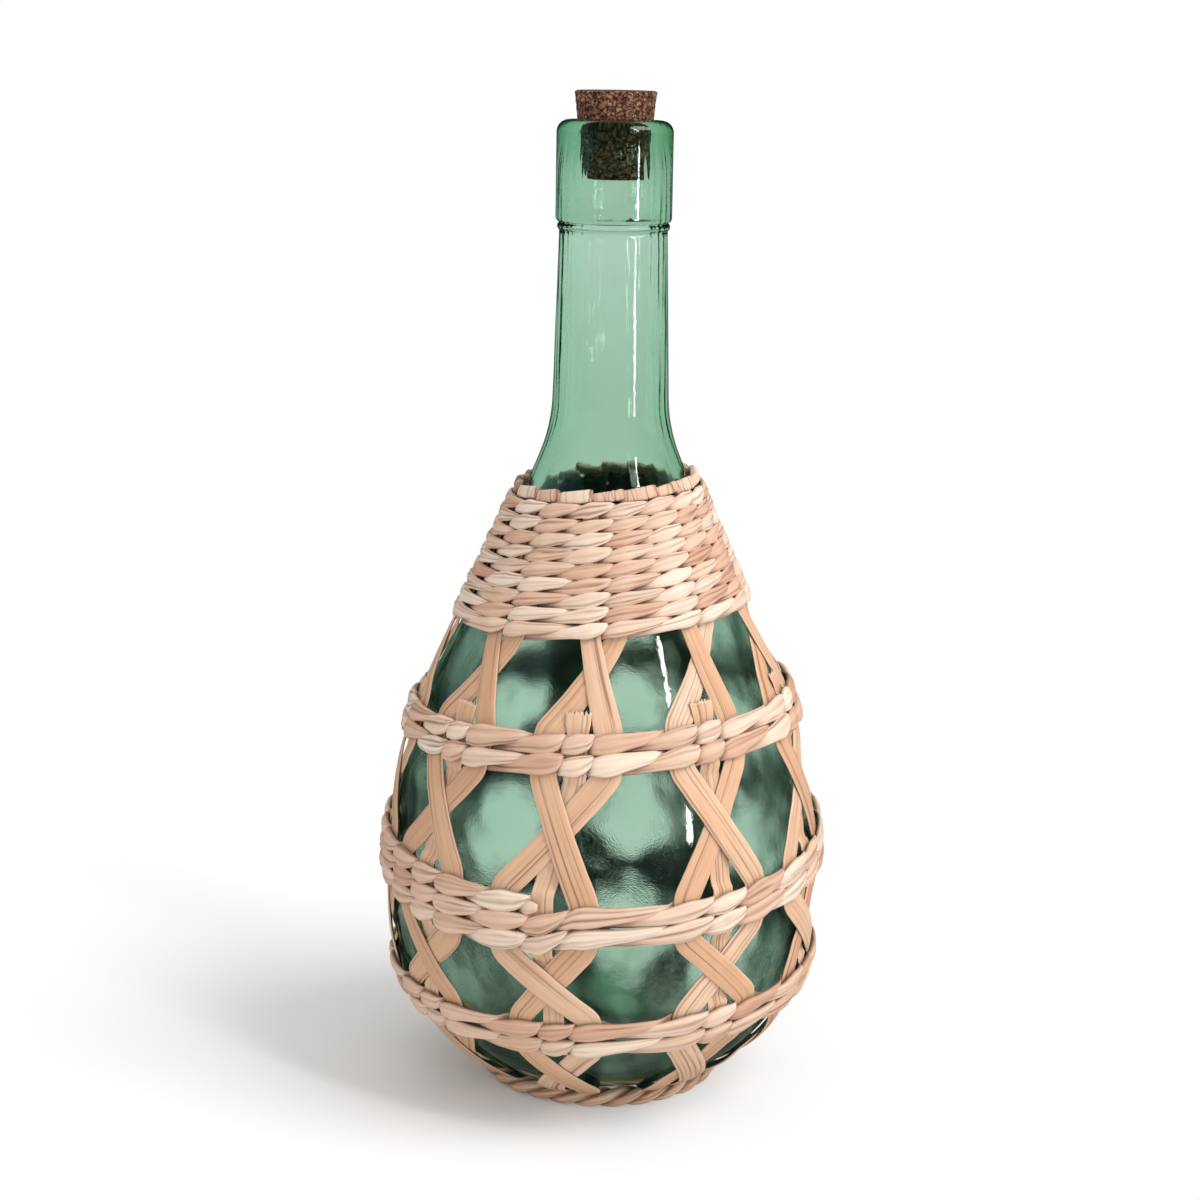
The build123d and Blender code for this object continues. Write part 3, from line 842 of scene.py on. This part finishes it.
def fold_lines(x, run, stitch, stitches, end_fold, rng):
    """Folds along a weaver, 0 to 1, which move and fade from stitch to stitch."""
    folds = np.zeros((len(run), len(x)))
    centres = np.linspace(-fold_reach, fold_reach, fold_count)
    for centre in centres + rng.normal(0, 0.05, fold_count):
        line = centre + rng.normal(0, 0.13, stitches)[stitch] + wander(rng, run, *fold_drift)
        strength = np.clip(rng.normal(0.35, 0.35, stitches)[stitch] + 0.5 * end_fold, 0, 1)
        narrow = rng.uniform(0.05, 0.1)
        folds += strength[:, None] * np.exp(-((x - line[:, None]) / narrow) ** 2)
    return np.clip(folds, 0, 1)


def weaver_strand(name, spots, pitch, height_at, seed, start, rounds=1, closed=True):
    """A weaver over spots of (angle, half width of the stake). start is 0 if it begins in front."""
    rng = np.random.default_rng(seed)
    if closed and start == 0:  # a closed weaver's two ends meet behind a stake, out of sight
        spots, start = spots[1:] + [(spots[0][0] + 360, spots[0][1])], 1

    def radius_at(angle):
        place = on_glass(angle, along_glass(height_at(np.array([angle], float))[0]), 0)[0]
        return math.hypot(place[0], place[1])

    knots = weaver_knots(spots, rounds, closed, start, radius_at, rng)
    at = np.concatenate([
        np.linspace(low, high, max(2, round((high - low) * math.radians(radius_at(low)))),
                    endpoint=False)
        for low, high in zip(knots[:, 0], knots[1:, 0])
    ])
    shift, half_tall, lift, thick = eased(knots[:, 0], knots[:, 1:5], at).T
    last_knot = np.clip(np.searchsorted(knots[:, 0], at, side="right") - 1, 0, None)
    stitch = knots[last_knot, 5].astype(int)
    stitches = stitch.max() + 1
    if closed:
        stitch = np.mod(stitch, stitches - 1)
    front = np.clip((lift - tip_lift) / (front_lift - tip_lift), 0, 1)
    swell, tall, lift_by, shift_by = (rng.normal(0, spread, stitches)[stitch]
                                      for spread in stitch_spreads)
    tone_share = 0.5 + tone_spread * rng.normal(0, 1, stitches)
    tone = np.clip(between(*weaver_tones, tone_share), 0, 1)[stitch]
    place = np.array([along_glass(height) for height in height_at(at)])
    middle, out, along = on_glass(at, place + pitch * (shift + shift_by * front),
                                  lift + lift_by * front)
    half_tall = pitch * half_tall * (overfill + tall * front)
    half_thick = thick * (1 + swell * front) * (pitch / usual_pitch) ** 0.6
    _, x, y = cross_section(weaver_corners, 0.95, 1.05)
    run = lengths_along(middle)
    to_end = np.minimum(run, run[-1] - run)
    rising = np.gradient(shift, run)
    end_fold = (np.clip(rising * 12, 0, 1) * np.clip((half_tall / pitch - 0.1) * 5, 0, 1)
                * (shift > 0))
    folds = fold_lines(x, run, stitch, stitches, end_fold, rng) * (y > 0.1)
    if closed:
        folds *= np.clip(to_end / meeting_length, 0, 1)[:, None]
    sideways = x * half_tall[:, None]
    outward = (y - fold_depth * folds) * half_thick[:, None]
    if not closed:
        tip = np.clip((to_end + tip_start) / tip_length, 0, 1)[:, None] ** 0.6
        sideways, outward = sideways * tip, outward * tip
    points = swept(middle, sideways, along, outward, out)
    faces = [face[::-1] for face in tube_faces(len(at), weaver_corners, closed)]
    piece = mesh_object(name, points.reshape(-1, 3), faces)
    # Painted shade: darker where the weaver goes behind a stake, along both sides where it presses
    # on its neighbours, and in its folds.
    ends = np.clip(1 - front * 1.5, 0, 1)[:, None] * 0.45
    store(piece, "crease_and_shade", np.clip(folds * 0.9 + ends + 0.7 * np.abs(x) ** 14, 0, 1))
    drift = wander(rng, run, *weaver_tone_drift)
    store(piece, "tone", np.repeat(tone - 0.2 * end_fold + drift, weaver_corners))
    # Painted shade: the back half of the weaver, towards the glass, is painted dark olive.
    store(piece, "glass_side_shade", np.tile(np.clip(-2 * y, 0, 1), len(at)))
    store_lengths(piece, np.repeat(run + 500 * seed, weaver_corners), sideways + 37 * seed)
    return piece


twined_leaf = leaf_material("twined_leaf", 0.45, Pale=(0.83, 0.67, 0.53, 1), Fibre_Strength=0.7,
                            Tan=(0.70, 0.46, 0.325, 1), Ruddy=(0.57, 0.30, 0.185, 1))
collar_length = along_glass(collar_top_height) - along_glass(collar_foot_height)
for number in range(1, collar_row_count + 1):
    share = (number - 0.5) / collar_row_count
    half = between(stake_collar_width, stake_rim_width, share) / 2 + side_gap
    spots = sorted((angle + side * collar_spread(share), half)
                   for angle in collar_angles for side in (-1, 1))

    def collar_row(angle, share=share):
        return between(collar_foot(angle), collar_top(angle), share)

    for start in (0, 1):
        weaver = weaver_strand(f"collar_row_{number}_weaver_{start + 1}", spots,
                               collar_length / collar_row_count, collar_row,
                               100 + 2 * number + start, start)
        finish_piece(weaver, twined_leaf, "bottle", f"collar_row_{number}")


# Bands
# Two rows of thicker twining over every stake, tied in while the cage is on the bottle. Band 2 has
# a third row round the left side, whose ends are tucked behind the front column.

row_squeeze = 0.97


def band_spots(band):
    """Where a band crosses stakes, as (angle, half width of the stake)."""
    outer_half, inner_half = (width / 2 + side_gap for width in (stake_width, inner_width))
    offsets = ((-band["spread"], outer_half), (0, inner_half), (band["spread"], outer_half))
    return sorted((angle + offset, half) for angle in band["angles"] for offset, half in offsets)


def band_row(band, number):
    """A function for the height of a band's row, which for rows 1 and 2 makes room for row 3."""
    def height_at(angle):
        room = third_row_share(band, angle) if number < 3 else 1
        rows_up = number - 1.5 - 0.5 * room
        return level(angle, *band["level"]) + rows_up * band_row_pitch * row_squeeze
    return height_at


for band_number, band in enumerate(bands):
    for number in (1, 2):
        cad_node = f"{band['name']}_row_{number}"
        weaver = weaver_strand(f"{cad_node}_weaver", band_spots(band), band_row_pitch,
                               band_row(band, number), 200 + 10 * band_number + number, 0, rounds=2)
        finish_piece(weaver, twined_leaf, "bottle", cad_node)

spots = sorted((angle % 360, half) for angle, half in band_spots(bands[1]))
spots = [spot for spot in spots if third_row_start <= spot[0] <= third_row_end]
for start in (0, 1):
    weaver = weaver_strand(f"band_2_row_3_weaver_{start + 1}", spots, band_row_pitch,
                           band_row(bands[1], 3), 260 + start, start, closed=False)
    finish_piece(weaver, twined_leaf, "bottle", "band_2_row_3")


# Rim border
# The stake ends, each folded over and laid along the top edge of the collar. Every bundle starts
# behind the one before it and wraps over the edge, so the border looks like a thick laid rope.

border_thickness, border_height, border_rise, border_step = 2.7, 4.2, 2.2, 0.8
border_lift, border_lift_step = 2.4, 1.3
bundle_corners, bundle_folds, bundle_end, bundle_tone_drift = 28, 7, 1.2, (12.0, 0.05)
# Where a bundle starts and ends, as shares of the way to the next stake
bundle_start, bundle_stop, stop_spread, bundle_stations = -0.08, 1.02, 0.06, 64
# What differs between bundles: tilt and lift in millimetres, share of the height, and tone
least_bundle, most_bundle = (-1.0, -0.25, 0.9, 0.15), (1.0, 0.35, 1.15, 0.7)


def bundle_shape(share):
    """Width and thickness shares of a bundle on its way from one end to the other."""
    left = 1 - share
    return min(1, 0.7 + 2 * share, 0.86 + 2 * left), min(1, 0.6 + 2 * share, 0.8 + 3 * left)


def leaf_bundle(name, centres, outs, seed, wide, tone):
    """A leaf wrapped round the edge along centres, with folds across it."""
    rng = np.random.default_rng(seed)
    run = lengths_along(centres)
    ahead = unit(np.gradient(centres, axis=0))
    flat = unit(np.cross(outs, ahead))
    ring, x, y = cross_section(bundle_corners, 0.6, 0.6)
    folds = np.zeros((len(centres), bundle_corners))
    for centre in rng.uniform(0, run[-1], bundle_folds):
        line = centre + 0.5 * np.sin(ring + rng.uniform(0, 6))
        strength, narrow = rng.uniform(0.3, 0.9), rng.uniform(0.12, 0.3)
        folds += strength * np.exp(-((run[:, None] - line) / narrow) ** 2)
    folds = np.clip(folds, 0, 1)
    shares = np.array([bundle_shape(share) for share in run / run[-1]])
    sideways = x * wide / 2 * shares[:, :1] * (1 - 0.12 * folds)
    outward = y * border_thickness / 2 * shares[:, 1:] * (1 - 0.2 * folds)
    points = swept(centres, sideways, flat, outward, np.cross(ahead, flat))
    piece = mesh_object(name, points.reshape(-1, 3), tube_faces(len(centres), bundle_corners))
    # Painted shade: darker at both ends, where the bundle tucks in under its neighbours, and in its
    # folds.
    ends = np.clip(1 - np.minimum(run, run[-1] - run) / bundle_end, 0, 1)[:, None] * 0.8
    store(piece, "crease_and_shade", np.clip(0.9 * folds + ends, 0, 1))
    drift = wander(rng, run, *bundle_tone_drift)
    store(piece, "tone", np.repeat(tone + drift, bundle_corners))
    store_lengths(piece, np.tile(np.sin(ring / 2) * 4, len(centres)) + 29 * seed,
                  np.repeat(run + 70 * seed, bundle_corners))
    return piece


border_angles = sorted(angle + side * collar_top_spread
                       for angle in collar_angles for side in (-1, 1))
border_rng = np.random.default_rng(21)
for number, angle in enumerate(border_angles):
    sweep = (border_angles[(number + 1) % len(border_angles)] - angle) % 360
    stop = bundle_stop + border_rng.uniform(-stop_spread, stop_spread)
    share = np.linspace(bundle_start, stop, bundle_stations)
    turned_by = angle + sweep * share
    place = np.array([along_glass(height) for height in collar_top(turned_by)])
    tilt, stand_out, tall, tone = border_rng.uniform(least_bundle, most_bundle)
    rise = border_rise + (border_step + tilt) * (share - 0.5) + 0.5 * border_step
    lift = border_lift + stand_out + border_lift_step * (share - 0.5)
    centres, outs, _ = on_glass(turned_by, place + rise, lift)
    bundle = leaf_bundle(f"rim_bundle_{number + 1}", centres, outs, 300 + number,
                         border_height * tall, tone)
    finish_piece(bundle, twined_leaf, "bottle", "rim_border")


# Foot ring
# A thick rope of three twisted bundles of leaf under the edge of the base, which the bottle stands
# on. The stakes come out from under it and bend up round its outside.

foot_radius, foot_height, floor_gap, rope_bulge = 40.5, 5.7, 0.02, 0.9
rope_bundles, rope_turns, rope_stations, rope_corners, rope_folds = 3, 9, 660, 24, 7
rope_swing_across, rope_swing_up, rope_lift = 2.2, 1.5, 0.3
rope_half_width, rope_half_height = 2.3, 1.95
rope_fold_width, rope_fold_depth, rope_swell = 0.13, 0.09, 0.06

plaited_leaf = leaf_material("plaited_leaf", 0.5, Pale=(0.80, 0.61, 0.45, 1), Fibre_Strength=0.8,
                             Tan=(0.67, 0.42, 0.27, 1), Ruddy=(0.52, 0.27, 0.155, 1))
ring = np.linspace(0, 2 * math.pi, rope_corners, endpoint=False)
turn = np.linspace(0, 2 * math.pi, rope_stations, endpoint=False)[:, None]
for number in range(rope_bundles):
    rng = np.random.default_rng(400 + number)
    twist = turn * rope_turns + number * 2 * math.pi / rope_bundles
    folds = np.zeros((rope_stations, rope_corners))
    for centre in np.linspace(0, 2 * math.pi, rope_folds, endpoint=False):
        near = np.angle(np.exp(1j * (ring - centre - 0.25 * np.sin(turn * 3 + centre))))
        folds += rng.uniform(0.4, 1.0) * np.exp(-(near / rope_fold_width) ** 2)
    folds = np.clip(folds, 0, 1)
    reach = (1 - rope_fold_depth * folds) * (1 + rope_swell * np.sin(turn * 7 + number))
    across = (foot_radius + rope_swing_across * np.cos(twist)
              + rope_half_width * np.cos(ring) * reach)
    up = (foot_height / 2 + rope_lift + rope_swing_up * np.sin(twist)
          + rope_half_height * np.sin(ring) * reach)
    up = np.clip(up, floor_gap, foot_height + rope_bulge)
    # Painted shade: the side of each bundle that turns in against the other two is darkened, and so
    # are its folds.
    inward_shade = np.clip(0.5 - np.cos(ring - twist), 0, 0.5)
    points = np.stack([across * np.sin(turn), -across * np.cos(turn), up], axis=-1)
    bundle = mesh_object(f"foot_rope_{number + 1}", points.reshape(-1, 3),
                         tube_faces(rope_stations, rope_corners, closed=True))
    store(bundle, "crease_and_shade", np.clip(folds + 1.6 * inward_shade, 0, 1))
    tone = 0.28 + 0.12 * number + 0.14 * np.sin(turn * 5 + number)
    store(bundle, "tone", np.repeat(tone, rope_corners))
    store_lengths(bundle, np.repeat(turn * foot_radius + 900 * number, rope_corners),
                  np.tile(ring * 2, rope_stations))
    finish_piece(bundle, plaited_leaf, "bottle", "foot_ring")


# Floor, background and lamps
# A white sweep, as in a product photograph. It's lit from the upper right front, so the soft shadow
# falls behind and to the left, and past the shadow the floor goes over into pure white.

floor_half, floor_colour = 6000, (0.82, 0.82, 0.82, 1)
white_through_glass, room_level = 0.93, 0.86
floor_points = [(x * floor_half, y * floor_half, 0)
                for x, y in ((-1, -1), (1, -1), (1, 1), (-1, 1))]
floor = mesh_object("floor", floor_points, [(0, 1, 2, 3)], smooth=False)
floor_white, tree, shader = shader_material(
    "floor_white", Base_Color=(0.98, 0.98, 0.98, 1), Roughness=1.0, Specular_IOR_Level=0.0)


def seen_and_mirrored(tree, behind):
    """How far a ray looks at the white, straight or through glass, and how far it is a reflection.
    A look that glass has mirrored on its way finds the white only behind the bottle."""
    path = node(tree, "ShaderNodeLightPath").outputs
    unmirrored = math_node(tree, "LESS_THAN", path["Glossy Depth"], 0.5)
    white = math_node(tree, "MAXIMUM", behind,
                      math_node(tree, "MULTIPLY", unmirrored, white_through_glass))
    through = math_node(tree, "MULTIPLY", path["Is Transmission Ray"], white)
    first = math_node(tree, "LESS_THAN", path["Diffuse Depth"], 0.5)
    return [math_node(tree, "MULTIPLY", share, first)
            for share in (math_node(tree, "MAXIMUM", path["Is Camera Ray"], through),
                          math_node(tree, "SUBTRACT", path["Is Glossy Ray"], through))]


place = node(tree, "ShaderNodeNewGeometry").outputs["Position"]
from_shadow = node(tree, "ShaderNodeVectorMath", {0: place, 1: (-0.17, 0.04, 0)},
                   operation="DISTANCE").outputs["Value"]
far = ranged(tree, from_shadow, 0.12, 0.33, interpolation_type="SMOOTHSTEP")
way = node(tree, "ShaderNodeSeparateXYZ", {0: place}).outputs
behind = ranged(tree, way["Y"], -0.05, 0.15, to_high=white_through_glass)
seen, mirrored = seen_and_mirrored(tree, behind)
dim = mixed(tree, far, (0.18, 0.22, 0.20, 1), (0.03, 0.04, 0.045, 1))
tree.links.new(mixed(tree, mirrored, floor_colour, dim), shader.inputs["Base Color"])
glow = node(tree, "ShaderNodeEmission", {"Color": (1, 1, 1, 1), "Strength": 1.0})
white_share = math_node(tree, "MULTIPLY", seen, far)
blend = node(tree, "ShaderNodeMixShader",
             {0: white_share, 1: shader.outputs[0], 2: glow.outputs[0]})
tree.links.new(blend.outputs[0], tree.nodes["Material Output"].inputs["Surface"])
floor.data.materials.append(floor_white)

# The room is white behind the bottle, dim and bluish in what the glass mirrors from the front
world = bpy.data.worlds.new("white_room")
world.use_nodes = True
bpy.context.scene.world = world
tree = world.node_tree
background = tree.nodes["Background"].inputs
direction = node(tree, "ShaderNodeTexCoord").outputs["Generated"]
way = node(tree, "ShaderNodeSeparateXYZ", {0: direction}).outputs
behind = ranged(tree, way["Y"], -0.3, 0.25, to_high=white_through_glass)
seen, mirrored = seen_and_mirrored(tree, behind)
to_right = ranged(tree, way["X"], -0.9, -0.5)
dim = mixed(tree, to_right, (0.08, 0.20, 0.32, 1), (0.03, 0.04, 0.035, 1))
tree.links.new(mixed(tree, mirrored, (1, 1, 1, 1), dim), background["Color"])
tree.links.new(ranged(tree, seen, 0, 1, room_level, 1.0), background["Strength"])


def lamp(name, kind, place, aim, strength, **settings):
    """A lamp at a place in metres, pointing at aim."""
    light = bpy.data.lights.new(name, kind)
    light.energy = strength
    for setting, value in settings.items():
        setattr(light, setting, value)
    holder = bpy.data.objects.new(name, light)
    holder.location = place
    holder.rotation_euler = (Vector(aim) - Vector(place)).to_track_quat("-Z", "Y").to_euler()
    bpy.context.scene.collection.objects.link(holder)


lamp("key_lamp", "SUN", (0.59, -0.19, 0.785), (0, 0, 0), 1.45, angle=math.radians(34))
lamp("window_lamp", "AREA", (0.914, -0.853, 1.35), (0, 0, 0.15), 6.5,
     shape="RECTANGLE", size=0.07, size_y=0.9)
lamp("low_lamp", "AREA", (0.914, -0.853, 0.18), (0, 0, 0.28), 1.5,
     shape="RECTANGLE", size=0.07, size_y=0.2)


# Camera
# Stands a little over the top of the bottle and looks down at its middle.

camera_data = bpy.data.cameras.new("camera")
camera_data.lens, camera_data.sensor_width = 72.15, 36.0
camera = bpy.data.objects.new("camera", camera_data)
bpy.context.scene.collection.objects.link(camera)
camera.location = (-0.0025, -0.85, 0.378)
look_down, roll = math.radians(13.18), math.radians(0.985)
camera.rotation_euler = (Matrix.Rotation(math.radians(90) - look_down, 3, "X")
                         @ Matrix.Rotation(roll, 3, "Z")).to_euler()
bpy.context.scene.camera = camera
bpy.context.scene.view_settings.view_transform = "Standard"
